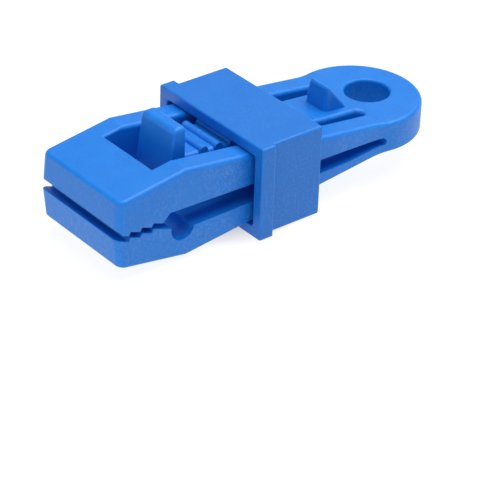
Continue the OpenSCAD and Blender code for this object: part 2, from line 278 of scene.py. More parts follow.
def round_edges(
    work: bpy.types.Object,
    radius_of: Callable[[EdgeSite], float],
    is_rounding: Callable[[Vector, Vector], bool] | None = None,
) -> None:
    """Rounds each edge of a solid with its own radius.

    Args:
        work: The solid.
        radius_of: Gives an edge's radius in millimetres, or 0 to leave it as it is.
        is_rounding: Tells from a face's middle and normal whether it is a rounding already.
    """
    # An empty slot for each kind of face lets the bevel mark its own faces.
    for _ in Surface:
        work.data.materials.append(None)
    with editing(work.data) as bm:
        bmesh.ops.remove_doubles(bm, verts=bm.verts, dist=MERGE)
        bmesh.ops.dissolve_limit(
            bm, angle_limit=FLAT_ANGLE, verts=bm.verts, edges=bm.edges, use_dissolve_boundaries=False
        )
        layer = bm.edges.layers.float.new("bevel_weight_edge")
        offsets = {}
        for edge in bm.edges:
            angle = edge.calc_face_angle(0.0)
            if len(edge.link_faces) == 2 and angle >= ROUND_ANGLE:
                a, b = (v.co for v in edge.verts)
                site = EdgeSite((a + b) / 2, (b - a).normalized(), edge.is_convex)
                offsets[edge] = radius_of(site) * math.tan(angle / 2)
        widest = max(offsets.values())
        for edge, offset in offsets.items():
            edge[layer] = offset / widest
        for face in bm.faces:
            if is_rounding and is_rounding(face.calc_center_median(), face.normal):
                face.material_index = Surface.ROUNDING.value
    modifier = work.modifiers.new("round", "BEVEL")
    modifier.material = Surface.ROUNDING.value
    modifier.limit_method = "WEIGHT"
    modifier.width = widest
    modifier.segments = ROUND_STRIPS
    modifier.use_clamp_overlap = False
    modifier.loop_slide = False
    settle(work)


def slice_across(bm: bmesh.types.BMesh, x: float, drop_root: bool = False) -> list[bmesh.types.BMEdge]:
    """Cuts across a mesh at a place along the clip.

    Args:
        bm: The mesh.
        x: The place of the cut.
        drop_root: True to throw away what lies nearer to the eye.

    Returns:
        The edges of the cut.
    """
    done = bmesh.ops.bisect_plane(
        bm, geom=bm.verts[:] + bm.edges[:] + bm.faces[:], dist=CUT_SLACK,
        plane_co=(x, 0, 0), plane_no=(1, 0, 0), clear_inner=drop_root,
    )
    return [e for e in done["geom_cut"] if isinstance(e, bmesh.types.BMEdge)]


def add_loops(work: bpy.types.Object, start: float, end: float) -> None:
    """Adds loops of edges across a stretch of the clip that bends.

    Args:
        work: The solid.
        start: Where the stretch starts.
        end: Where it ends.
    """
    with editing(work.data) as bm:
        for i in range(1, BEND_LOOPS + 1):
            slice_across(bm, start + (end - start) * i / (BEND_LOOPS + 1))


def dress(work: bpy.types.Object, material: bpy.types.Material) -> None:
    """Gives a finished solid its material, smooth shading and its size in metres.

    Args:
        work: The solid, still in millimetres.
        material: Its material.
    """
    rounding = Surface.ROUNDING.value
    with editing(work.data) as bm:
        # The crests of the roundings are marked for edge wear and a painted highlight.
        wear_and_highlight = bm.loops.layers.float.new(WEAR_AND_HIGHLIGHT)
        for vert in bm.verts:
            on_crest = all(face.material_index == rounding for face in vert.link_faces)
            crest = on_crest and any(
                e.is_convex and e.calc_face_angle(0.0) > CREST_ANGLE for e in vert.link_edges
            )
            for loop in vert.link_loops:
                loop[wear_and_highlight] = float(crest and loop.face.material_index == rounding)
        for face in bm.faces:
            face.smooth = True
            face.material_index = Surface.PLAIN.value
        for edge in bm.edges:
            edge.smooth = edge.calc_face_angle(0.0) < SHARP_ANGLE
    work.data.transform(Matrix.Scale(MM, 4))
    modifier = work.modifiers.new("normals", "WEIGHTED_NORMAL")
    modifier.keep_sharp = True
    modifier.weight = 100
    settle(work)
    work.data.materials.clear()
    work.data.materials.append(material)


def report(piece: bpy.types.Object, body: Body) -> None:
    """Logs a finished piece.

    Args:
        piece: The piece.
        body: The body that it moves with.
    """
    bm = bmesh.new()
    bm.from_mesh(piece.data)
    loose = sum(not e.is_manifold for e in bm.edges)
    triangles = sum(len(f.verts) - 2 for f in bm.faces)
    bm.free()
    log.info("%s has %d triangles, %d open edges, on %s", piece.name, triangles, loose, body.value)


@dataclass(frozen=True)
class NodeKit:
    """Adds nodes to a tree in a few words."""

    tree: bpy.types.NodeTree

    def put(self, target: Socket, value: object) -> None:
        """Links a socket to an output, or sets it to a plain value.

        Args:
            target: The input socket.
            value: An output socket or a value.
        """
        if isinstance(value, Socket):
            self.tree.links.new(value, target)
        else:
            target.default_value = value

    def add(
        self, kind: str, given: Mapping[str | int, object] | None = None, **settings: object
    ) -> bpy.types.Node:
        """Adds a node.

        Args:
            kind: The node's type.
            given: What goes into its inputs, by their names or places.
            **settings: Its properties.

        Returns:
            The node.
        """
        node = self.tree.nodes.new(kind)
        for name, value in settings.items():
            setattr(node, name, value)
        for name, value in (given or {}).items():
            self.put(node.inputs[name], value)
        return node

    def math(self, operation: str, *values: object, clamp: bool = False) -> Socket:
        """Adds a Math node, whose result may be held between 0 and 1, and returns its output."""
        given = dict(enumerate(values))
        return self.add("ShaderNodeMath", given, operation=operation, use_clamp=clamp).outputs[0]

    def total(self, *parts: tuple[Socket, float]) -> Socket:
        """Adds up two values, each times its share."""
        return self.math("ADD", *(self.math("MULTIPLY", value, share) for value, share in parts))

    def span(
        self, value: object, low: object, high: object, to_low: float = 0.0, to_high: float = 1.0
    ) -> Socket:
        """Maps a value from one range to another and holds it inside the new one."""
        given = {"Value": value, "From Min": low, "From Max": high, "To Min": to_low, "To Max": to_high}
        return self.add("ShaderNodeMapRange", given, clamp=True).outputs["Result"]

    def noise(self, place: Socket, scale: object, detail: float, roughness: float = 0.5) -> Socket:
        """Adds a Noise Texture and returns its value."""
        given = {"Vector": place, "Scale": scale, "Detail": detail, "Roughness": roughness}
        return self.add("ShaderNodeTexNoise", given, noise_dimensions="3D").outputs[0]

    def mix(self, factor: object, first: object, second: object) -> Socket:
        """Mixes two colours, with the factor as the share of the second one."""
        given = {0: factor, 6: first, 7: second}
        return self.add("ShaderNodeMix", given, data_type="RGBA").outputs[2]


def new_group(name: str, numbers: Mapping[str, float], results: Sequence[str]) -> NodeKit:
    """Makes a shader node group that reads a place and some numbers.

    Args:
        name: The group's name.
        numbers: Its number inputs and their defaults.
        results: Its outputs.

    Returns:
        A kit that adds the group's nodes.
    """
    group = bpy.data.node_groups.new(name, "ShaderNodeTree")
    face = group.interface
    face.new_socket("Place", in_out="INPUT", socket_type="NodeSocketVector")
    for label, value in numbers.items():
        face.new_socket(label, in_out="INPUT", socket_type="NodeSocketFloat").default_value = value
    for label in results:
        face.new_socket(label, in_out="OUTPUT", socket_type="NodeSocketFloat")
    return NodeKit(group)


@dataclass(frozen=True)
class MouldedSkin:
    """The pattern of a moulded skin: cloudy patches, speckles, fine grain, waves and roughness."""

    mottle_fineness: float = 5.3
    wave_fineness: float = 2.1
    main_share: float = 0.6
    fine_share: float = 0.4
    grain_height: float = 0.35

    def build(self) -> bpy.types.ShaderNodeTree:
        """Builds the node group.

        Returns:
            The group, with outputs Cloud, Speckle, Patch, Roughness and Height.
        """
        kit = new_group(
            "moulded_skin",
            {
                "Cloud Scale": 260.0, "Grain Scale": 5200.0, "Speckle Scale": 1900.0,
                "Patch Scale": 70.0, "Roughness": 0.4, "Roughness Span": 0.1,
            },
            ("Cloud", "Speckle", "Patch", "Roughness", "Height"),
        )
        given = kit.add("NodeGroupInput").outputs
        place, cloud_scale = given["Place"], given["Cloud Scale"]
        mottle_scale = kit.math("MULTIPLY", cloud_scale, self.mottle_fineness)
        broad = kit.noise(place, cloud_scale, detail=3.0, roughness=0.6)
        mottle = kit.noise(place, mottle_scale, detail=2.0, roughness=0.6)
        cloud = kit.total((broad, self.main_share), (mottle, self.fine_share))
        cloud = kit.span(cloud, low=0.34, high=0.66)
        grain = kit.noise(place, given["Grain Scale"], detail=2.0, roughness=0.65)
        grain = kit.span(grain, low=0.3, high=0.7)
        mean = kit.total((cloud, self.main_share), (grain, self.fine_share))
        swing = kit.math("MULTIPLY", kit.math("SUBTRACT", mean, 0.5), given["Roughness Span"])
        wave_scale = kit.math("MULTIPLY", cloud_scale, self.wave_fineness)
        waves = kit.noise(place, wave_scale, detail=1.0, roughness=0.4)
        kit.add("NodeGroupOutput", {
            "Cloud": cloud,
            "Speckle": kit.noise(place, given["Speckle Scale"], detail=2.0, roughness=0.6),
            "Patch": kit.noise(place, given["Patch Scale"], detail=1.0),
            "Roughness": kit.math("ADD", given["Roughness"], swing, clamp=True),
            "Height": kit.math("ADD", kit.math("MULTIPLY", grain, self.grain_height), waves),
        })
        return kit.tree


def faces_group() -> bpy.types.ShaderNodeTree:
    """Builds the node group that finds the outer upright faces, whose skin gets the mould's frost and a
    painted sheen.

    Returns:
        The group, with the outputs Upright, which is zero inside the window and the eye, and Eye Wall,
        which marks the eye's wall for painted shade.
    """
    kit = new_group(
        "upright_faces",
        {
            "Level Until": 0.75, "Upright From": 0.25, "Hollow Half Width": 0.0088,
            "Hollow Start": -0.006, "Hollow End": 0.0595, "Eye From": 0.0050, "Eye Until": 0.0044,
        },
        ("Upright", "Eye Wall"),
    )
    given = kit.add("NodeGroupInput").outputs
    normal = kit.add("ShaderNodeNewGeometry").outputs["Normal"]
    steep = kit.math("ABSOLUTE", kit.add("ShaderNodeSeparateXYZ", {0: normal}).outputs["Z"])
    steep_share = kit.span(steep, given["Level Until"], given["Upright From"])
    x, y, _ = kit.add("ShaderNodeSeparateXYZ", {0: given["Place"]}).outputs
    beside = kit.math("GREATER_THAN", kit.math("ABSOLUTE", y), given["Hollow Half Width"])
    ahead = kit.math("GREATER_THAN", x, given["Hollow End"])
    behind = kit.math("LESS_THAN", x, given["Hollow Start"])
    outside = kit.math("MAXIMUM", kit.math("MAXIMUM", beside, ahead), behind)
    from_eye = kit.math("SQRT", kit.math("ADD", *(kit.math("MULTIPLY", v, v) for v in (x, y))))
    kit.add("NodeGroupOutput", {
        "Upright": kit.math("MULTIPLY", steep_share, outside),
        "Eye Wall": kit.span(from_eye, given["Eye From"], given["Eye Until"]),
    })
    return kit.tree


@dataclass(frozen=True)
class MouldedFinish:
    """A coloured moulded plastic with a cloudy satin skin."""

    name: str
    base: Colour
    deep: Colour
    # The whitish colour of the mould's frost and of a painted sheen, held back in the hollows.
    frost_and_sheen: Colour
    # The brighter blue of edge wear and a painted highlight on the roundings' crests.
    crest: Colour
    frost_and_sheen_share: float
    roughness: float
    level_frost_and_sheen: float = 0.35
    roughness_span: float = 0.14
    relief: float = 0.00002
    relief_strength: float = 0.6
    glow: float = 0.05
    glow_depth: float = 0.0012
    glow_radius: Colour = (0.1, 0.4, 1.0)
    # How strong the edge wear and the painted highlight are.
    wear_and_highlight: float = 0.4
    least_wear_and_highlight: float = 0.35
    shine: float = 0.4
    # How dark the painted shade on the eye's wall is.
    hollow_shade: float = 0.22

    def build(
        self, skin: bpy.types.ShaderNodeTree, faces: bpy.types.ShaderNodeTree
    ) -> bpy.types.Material:
        """Builds the material.

        Args:
            skin: The moulded-skin group.
            faces: The group that finds the upright faces.

        Returns:
            The material.
        """
        material = bpy.data.materials.new(self.name)
        material.use_nodes = True
        material.node_tree.nodes.clear()
        kit = NodeKit(material.node_tree)
        place = kit.add("ShaderNodeTexCoord").outputs["Object"]
        given = {"Place": place, "Roughness": self.roughness, "Roughness Span": self.roughness_span}
        surface = kit.add("ShaderNodeGroup", given, node_tree=skin).outputs
        sides = kit.add("ShaderNodeGroup", {"Place": place}, node_tree=faces).outputs
        colour = kit.mix(surface["Cloud"], (*self.deep, 1.0), (*self.base, 1.0))
        # Frost and painted sheen: whitish speckles, strongest on the outer upright faces, weaker on
        # level faces and inside the window and the eye.
        level_share = self.frost_and_sheen_share * self.level_frost_and_sheen
        share = kit.span(sides["Upright"], 0.0, 1.0, level_share, self.frost_and_sheen_share)
        speckle = kit.span(surface["Speckle"], low=0.46, high=0.68)
        patchy = kit.span(surface["Patch"], low=0.4, high=0.65, to_low=0.35)
        frost_and_sheen_amount = kit.math("MULTIPLY", kit.math("MULTIPLY", speckle, patchy), share)
        colour = kit.mix(frost_and_sheen_amount, colour, (*self.frost_and_sheen, 1.0))
        # Edge wear and painted highlight: the crests of the roundings get a brighter blue.
        crest = kit.add("ShaderNodeAttribute", attribute_name=WEAR_AND_HIGHLIGHT).outputs["Fac"]
        uneven = kit.span(surface["Cloud"], 0.0, 1.0, self.least_wear_and_highlight * self.wear_and_highlight, self.wear_and_highlight)
        colour = kit.mix(kit.math("MULTIPLY", crest, uneven), colour, (*self.crest, 1.0))
        # Painted shade: the eye's wall is darkened towards black, and below its reflections are turned
        # down.
        shaded = kit.math("MULTIPLY", sides["Eye Wall"], self.hollow_shade)
        colour = kit.mix(shaded, colour, (0.0, 0.0, 0.0, 1.0))
        bump = kit.add("ShaderNodeBump", {
            "Strength": self.relief_strength, "Distance": self.relief, "Height": surface["Height"],
        })
        shader = kit.add("ShaderNodeBsdfPrincipled", {
            "Base Color": colour,
            "Roughness": surface["Roughness"],
            "Normal": bump.outputs["Normal"],
            "Specular IOR Level": kit.math(
                "MULTIPLY", kit.math("SUBTRACT", 1.0, sides["Eye Wall"]), self.shine
            ),
            "Subsurface Weight": self.glow,
            "Subsurface Scale": self.glow_depth,
            "Subsurface Radius": self.glow_radius,
        })
        kit.add("ShaderNodeOutputMaterial", {"Surface": shader.outputs["BSDF"]})
        return material


BODY_FINISH = MouldedFinish(
    name="moulded_blue_body",
    base=(0.0020, 0.200, 0.720),
    deep=(0.0010, 0.176, 0.660),
    frost_and_sheen=(0.1400, 0.320, 0.780),
    crest=(0.0010, 0.270, 0.950),
    frost_and_sheen_share=0.38,
    roughness=0.42,
)
COLLAR_FINISH = MouldedFinish(
    name="moulded_blue_collar",
    base=(0.0020, 0.172, 0.635),
    deep=(0.0010, 0.152, 0.580),
    frost_and_sheen=(0.1300, 0.300, 0.720),
    crest=(0.0010, 0.250, 0.920),
    frost_and_sheen_share=0.28,
    roughness=0.46,
)


@dataclass
class Moulding:
    """A sub-assembly that is moulded in one plastic."""

    plastic: bpy.types.Material


@dataclass
class ForkedBody(Moulding):
    """The lug with the eye and the two arms with their jaws, which are one moulding."""

    lug_r: float = 13.0
    lug_half: float = 3.2
    eye_r: float = 4.5
    eye_off: float = 2.8
    rim_r: float = 0.6
    neck_blend_r: float = 12.0
    arm_half_w: float = 12.3
    rise_x: float = 5.2
    ridge_x: float = 54.0
    ridge_z: float = 9.1
    lip_x: float = 69.8
    front_x: float = 69.1
    front_z: float = 6.8
    nose_z: float = -0.65
    edge_r: float = 0.9
    under_edge_r: float = 0.5
    nose_edge_r: float = 1.0
    jaw_corner_r: float = 1.6
    ridge_r: float = 1.6
    slit_x: float = 5.6
    slit_r: float = 0.75
    slit_z: float = -0.7
    slit_edge_r: float = 0.2
    slit_kink_r: float = 3.0
    lower_root_x: float = 14.5
    lower_root_t: float = 1.9
    throat_x: float = 57.85
    throat_top_z: float = 1.15
    throat_low_z: float = 3.4
    tooth_count: int = 3
    first_tooth_x: float = 67.1
    tooth_pitch: float = 2.55
    tooth_h: float = 0.73
    tooth_run: float = 0.45
    tip_z: float = -0.42
    bite_gap: float = 1.2
    tooth_edge_r: float = 0.09
    mouth_edge_r: float = 0.14
    lip_foot_x: float = 68.3
    lip_relief_z: float = 1.5
    channel_x: float = 54.85
    channel_z: float = -2.9
    channel_r: float = 2.6
    window_x: float = 6.5
    window_front_x: float = 58.6
    window_half: float = 7.4
    window_edge_r: float = 0.35
    window_foot_r: float = 0.15
    window_front_r: float = 0.2
    window_front_foot_r: float = 0.12
    rail_edge_r: float = 0.85
    rail_end_r: float = 0.55
    slot_inner: float = 5.2
    tongue_x: float = 8.1
    bend_x: float = 7.01
    bend_end_x: float = 11.01
    surface_slack: float = 0.08
    channel_sink: float = 0.01
    plan_step: float = 2.5
    seam_steps: int = 24
    rim_steps: int = 120
    least_turn: float = 0.04

    def arm_z(self, x: float) -> float:
        """Returns the height of the upper arm's outer face between the lug and the ridge."""
        rise, run = self.ridge_z - self.lug_half, self.ridge_x - self.rise_x
        return self.lug_half + rise * (x - self.rise_x) / run

    def top_z(self, x: float) -> float:
        """Finds the height of the outer face at any place along the clip.

        Args:
            x: The place.

        Returns:
            The height, above the lug's middle plane.
        """
        if x < self.rise_x:
            return self.lug_half
        if x < self.ridge_x:
            return self.arm_z(x)
        fall = (self.ridge_z - self.front_z) / (self.front_x - self.ridge_x)
        return self.ridge_z - fall * (x - self.ridge_x)

    def upper_mouth(self) -> list[Point]:
        """Lists the upper side of the mouth, from the lip back to the throat.

        Returns:
            The outline's points.
        """
        tread = self.tooth_h / (self.tooth_pitch - self.tooth_run)
        foot = (self.lip_foot_x, self.tip_z + tread * (self.lip_foot_x - self.first_tooth_x))
        nose = ((self.front_x, self.front_z), (self.lip_x, self.nose_z))
        relief = (foot, (self.lip_x, self.lip_relief_z))
        points = [crossing(*nose, *relief), foot]
        for k in range(self.tooth_count):
            x = self.first_tooth_x - k * self.tooth_pitch
            points += [(x, self.tip_z), (x - self.tooth_run, self.tip_z + self.tooth_h)]
        last = self.first_tooth_x - self.tooth_count * self.tooth_pitch
        return points + [(last, self.tip_z), (self.throat_x, self.throat_top_z)]

    def lower_mouth(self) -> list[Point]:
        """Lists the lower side of the mouth, from the slit's end forward to the lip.

        Returns:
            The outline's points.
        """
        low = self.tip_z - self.bite_gap
        tread = self.tooth_h / (self.tooth_pitch - self.tooth_run)
        left_z = self.channel_sink - self.throat_low_z
        left = math.degrees(math.asin((left_z - self.channel_z) / self.channel_r))
        last_tread = self.first_tooth_x - (self.tooth_count - 1) * self.tooth_pitch - self.tooth_run
        tread_end = low + self.tooth_h - tread * (last_tread - self.channel_x - self.channel_r)
        right = math.degrees(math.asin((tread_end - self.channel_z) / self.channel_r))
        points = [(self.lower_root_x, self.lower_root_t - self.arm_z(self.lower_root_x))]
        points += arc((self.channel_x, self.channel_z), self.channel_r, 180 - left, 360 + right)
        for k in reversed(range(self.tooth_count)):
            x = self.first_tooth_x - k * self.tooth_pitch
            points += [(x - self.tooth_run, low + self.tooth_h), (x, low)]
        out_x = self.lip_x + OVERRUN
        out = (out_x, low + tread * (out_x - self.first_tooth_x))
        nose = ((self.front_x, -self.front_z), (self.lip_x, self.nose_z))
        return points + [crossing(*nose, points[-1], out)]

    def arm_outline(self, above: bool) -> list[Point]:
        """Lists the side outline of one arm with its jaw, from the slit's closed end.

        Args:
            above: True for the upper arm, False for the lower one.

        Returns:
            The outline's points.
        """
        centre = (self.slit_x + self.slit_r, self.slit_z)
        outer = [
            (self.slit_x, self.top_z(self.slit_x)), (self.ridge_x, self.ridge_z),
            (self.front_x, self.front_z),
        ]
        if above:
            return [*outer, *self.upper_mouth(), *arc(centre, self.slit_r, 90, 180)]
        mouth = [*arc(centre, self.slit_r, 180, 270), *self.lower_mouth()]
        return mouth + [(x, -z) for x, z in reversed(outer)]

    def plan_outline(self) -> list[Point]:
        """Lists the plan outline: the lug's disc, the two hollow blends and the arms' sides.

        Returns:
            The outline's points.
        """
        r, f, w = self.lug_r, self.neck_blend_r, self.arm_half_w
        blend_x = self.eye_off + math.sqrt((r + f) ** 2 - (w + f) ** 2)
        meet = math.degrees(math.atan2(w + f, blend_x - self.eye_off))
        side = arc((self.eye_off, 0.0), r, 180, meet, self.plan_step)
        side += arc((blend_x, w + f), f, 180 + meet, 270, self.plan_step)[1:]
        side.append((self.lip_x + OVERRUN, w))
        return side + [(x, -y) for x, y in reversed(side[1:])]

    def window_plan(self) -> list[Point]:
        """Lists the window's plan, with a round-ended slot on each side of the tongue's root.

        Returns:
            The outline's points.
        """
        slot_r = (self.window_half - self.slot_inner) / 2
        centre = (self.window_x + slot_r, self.slot_inner + slot_r)
        half = [(self.window_front_x, self.window_half), *arc(centre, slot_r, 90, 270)]
        half.append((self.tongue_x, self.slot_inner))
        return half + [(x, -y) for x, y in reversed(half)]

    def round_corners(self, arm: bpy.types.Object, above: bool) -> None:
        """Rounds the two upright corners of a jaw, which lean with its front face.

        Args:
            arm: The arm with its jaw, its edges still sharp.
            above: True for the upper jaw, False for the lower one.
        """
        r, w = self.jaw_corner_r, self.arm_half_w
        edge_z = self.front_z if above else -self.front_z
        lean = (self.lip_x - self.front_x) / (self.nose_z - edge_z)
        for side in (-1.0, 1.0):
            rings = []
            for z in (-self.ridge_z, self.ridge_z):
                x = self.front_x + lean * (z - edge_z)
                waste = arc((x - r, w - r), r, 0, 90)
                out_x, out_y = x + OVERRUN, w + OVERRUN
                waste += [(x - r, out_y), (out_x, out_y), (out_x, w - r)]
                rings.append([Vector((u, side * v, z)) for u, v in waste])
            combine(arm, prism("corner_waste", *rings), Cut.TAKE_AWAY)

    def on_corner(self, middle: Vector, normal: Vector) -> bool:
        """Tells from a face's middle and normal whether it rounds a jaw's upright corner."""
        at_front = middle.x > self.front_x - self.jaw_corner_r - 2 * NEAR
        return at_front and min(normal.x, abs(normal.y)) > self.least_turn

    def edge_radius(self, site: EdgeSite) -> float:
        """Gives the rounding of an edge of the body.

        Args:
            site: The edge.

        Returns:
            Its radius in millimetres.
        """
        x, y, z = site.middle
        crosswise = abs(site.along.y)
        outer = abs(abs(z) - self.top_z(x)) < self.surface_slack
        side_r = self.edge_r if z > 0 else self.under_edge_r
        front_r = self.nose_edge_r if z > 0 else self.under_edge_r
        at_slit = x < self.slit_x + self.slit_r + SNUG and abs(z - self.slit_z) < self.slit_r + SNUG
        at_seam = x < self.slit_x + SNUG or abs(x - self.tongue_x) < SNUG
        if abs(site.along.x) < MERGE and at_seam or at_slit and not outer:
            return 0.0
        at_ridge = outer and abs(x - self.ridge_x) < NEAR
        along_window = self.window_x - 2 * NEAR < x < self.window_front_x - NEAR
        if along_window and abs(y) < self.window_half + NEAR and z > -2 * NEAR and not at_ridge:
            if outer:
                return self.rail_edge_r if x < self.ridge_x else self.rail_end_r
            return self.window_edge_r if abs(site.along.z) > MOSTLY else self.window_foot_r
        if crosswise > FULLY:
            if at_ridge:
                return self.ridge_r
            if outer and x > self.front_x - NEAR:
                return front_r
            if abs(x - self.window_front_x) < NEAR and z > 0:
                return self.window_front_r if outer else self.window_front_foot_r
            if x < self.channel_x - self.channel_r - 5 * NEAR:
                return self.slit_kink_r
            return self.mouth_edge_r if x > self.front_x else self.tooth_edge_r
        if outer and x > self.front_x - self.jaw_corner_r - NEAR:
            return side_r + (front_r - side_r) * crosswise
        if outer:
            return side_r
        return self.slit_edge_r if x < self.channel_x - self.channel_r else self.mouth_edge_r

    def lug_rings(self) -> list[list[Vector]]:
        """Lists the closed rings that the lug's skin runs over, from the eye's wall and back to it.

        Returns:
            The rings, each with the same number of points about the eye.
        """
        disc, seam_x = self.eye_off, self.slit_x
        turn = math.atan2(math.sqrt(self.lug_r**2 - (seam_x - disc) ** 2), seam_x)
        rest = 2 * math.pi - 2 * turn
        angles = [turn * i / self.seam_steps for i in range(-self.seam_steps, self.seam_steps)]
        angles += [turn + rest * i / self.rim_steps for i in range(self.rim_steps)]
        steps = [math.pi / 2 * i / ROUND_STRIPS for i in range(ROUND_STRIPS + 1)]

        def outer(angle: float, inset: float, z: float) -> Vector:
            """Finds a point of the lug's rim.

            Args:
                angle: Its angle about the eye, in the even steps of the rings.
                inset: How far it is set in from the disc's edge.
                z: Its height.

            Returns:
                The point.
            """
            r = self.lug_r - inset
            limit = math.atan2(math.sqrt(r**2 - (seam_x - disc) ** 2), seam_x)
            if angle <= turn:
                return Vector((seam_x, math.tan(limit * angle / turn) * seam_x, z))
            at = limit + 2 * (math.pi - limit) * (angle - turn) / rest
            c, s = math.cos(at), math.sin(at)
            reach = disc * c + math.sqrt(r**2 - (disc * s) ** 2)
            return Vector((reach * c, reach * s, z))

        def level(point: Vector, z: float) -> Vector:
            """Returns the point with its height raised where the arms begin to rise."""
            rise = max(0.0, self.top_z(point.x) - self.lug_half)
            return Vector((point.x, point.y, z + math.copysign(rise, z)))

        def half(edge_r: float) -> list[list[Vector]]:
            """Lists the rings of one half, from the eye's wall over the top to the outer edge.

            Args:
                edge_r: The rounding of the outer edge.

            Returns:
                The rings, on the upper side.
            """
            rings: list[list[Vector]] = []
            for a in steps:
                r = self.eye_r + self.rim_r * (1 - math.cos(a))
                z = self.lug_half - self.rim_r * (1 - math.sin(a))
                rings.append([Vector((r * math.cos(t), r * math.sin(t), z)) for t in angles])
            for a in reversed(steps):
                inset = edge_r * (1 - math.cos(a))
                z = self.lug_half - edge_r * (1 - math.sin(a))
                rings.append([level(outer(t, inset, z), z) for t in angles])
            return rings

        below = [[Vector((p.x, p.y, -p.z)) for p in ring] for ring in reversed(half(self.under_edge_r))]
        return half(self.edge_r) + below

    def build_lug(self) -> None:
        """Builds the round lug with its eye, up to the slit's closed end."""
        mesh = bpy.data.meshes.new("lug_moulding")
        with editing(mesh) as bm:
            rings = [[bm.verts.new(p) for p in ring] for ring in self.lug_rings()]
            count = len(rings[0])
            for i, ring in enumerate(rings):
                following = rings[(i + 1) % len(rings)]
                is_flat = (i + 1) % (ROUND_STRIPS + 1) == 0
                for j in range(count):
                    k = (j + 1) % count
                    face = bm.faces.new((ring[j], ring[k], following[k], following[j]))
                    at_seam = min(ring[j].co.x, ring[k].co.x) > self.slit_x - SNUG
                    kind = Surface.PLAIN if is_flat or at_seam else Surface.ROUNDING
                    face.material_index = kind.value
            bmesh.ops.recalc_face_normals(bm, faces=bm.faces)
        lug = link("lug_moulding", mesh)
        dress(lug, self.plastic)
        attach(lug, Body.ROOT.value)
        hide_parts("eye_lug")
        report(lug, Body.ROOT)

    def build_arm(self, name: str, body: Body, nodes: Sequence[str], above: bool) -> None:
        """Builds one arm with its jaw.

        Args:
            name: The piece's name.
            body: The body that the jaw moves with.
            nodes: The CAD nodes that the piece stands for.
            above: True for the upper arm, False for the lower one.
        """
        reach = self.lip_x
        half_w = self.lug_r + 2 * OVERRUN
        arm = draw_out(name, Facing.SIDE, self.arm_outline(above), -half_w, half_w)
        plan = draw_out("plan", Facing.PLAN, self.plan_outline(), -reach, reach)
        combine(arm, plan, Cut.KEEP_COMMON)
        if above:
            window = draw_out("window", Facing.PLAN, self.window_plan(), -self.lug_half, reach)
            combine(arm, window, Cut.TAKE_AWAY)
        self.round_corners(arm, above)
        round_edges(arm, self.edge_radius, is_rounding=self.on_corner)
        add_loops(arm, self.bend_x, self.bend_end_x)
        dress(arm, self.plastic)
        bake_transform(arm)
        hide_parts(*nodes)
        report(arm, body)

    def build(self) -> None:
        """Builds the lug and both arms."""
        self.build_lug()
        for name, body, nodes, above in (
            ("upper_arm_moulding", Body.UPPER_JAW, ("upper_arm_bend", "upper_jaw_arm"), True),
            ("lower_arm_moulding", Body.LOWER_JAW, ("lower_arm_bend", "lower_jaw_arm"), False),
        ):
            self.build_arm(name, body, nodes, above)


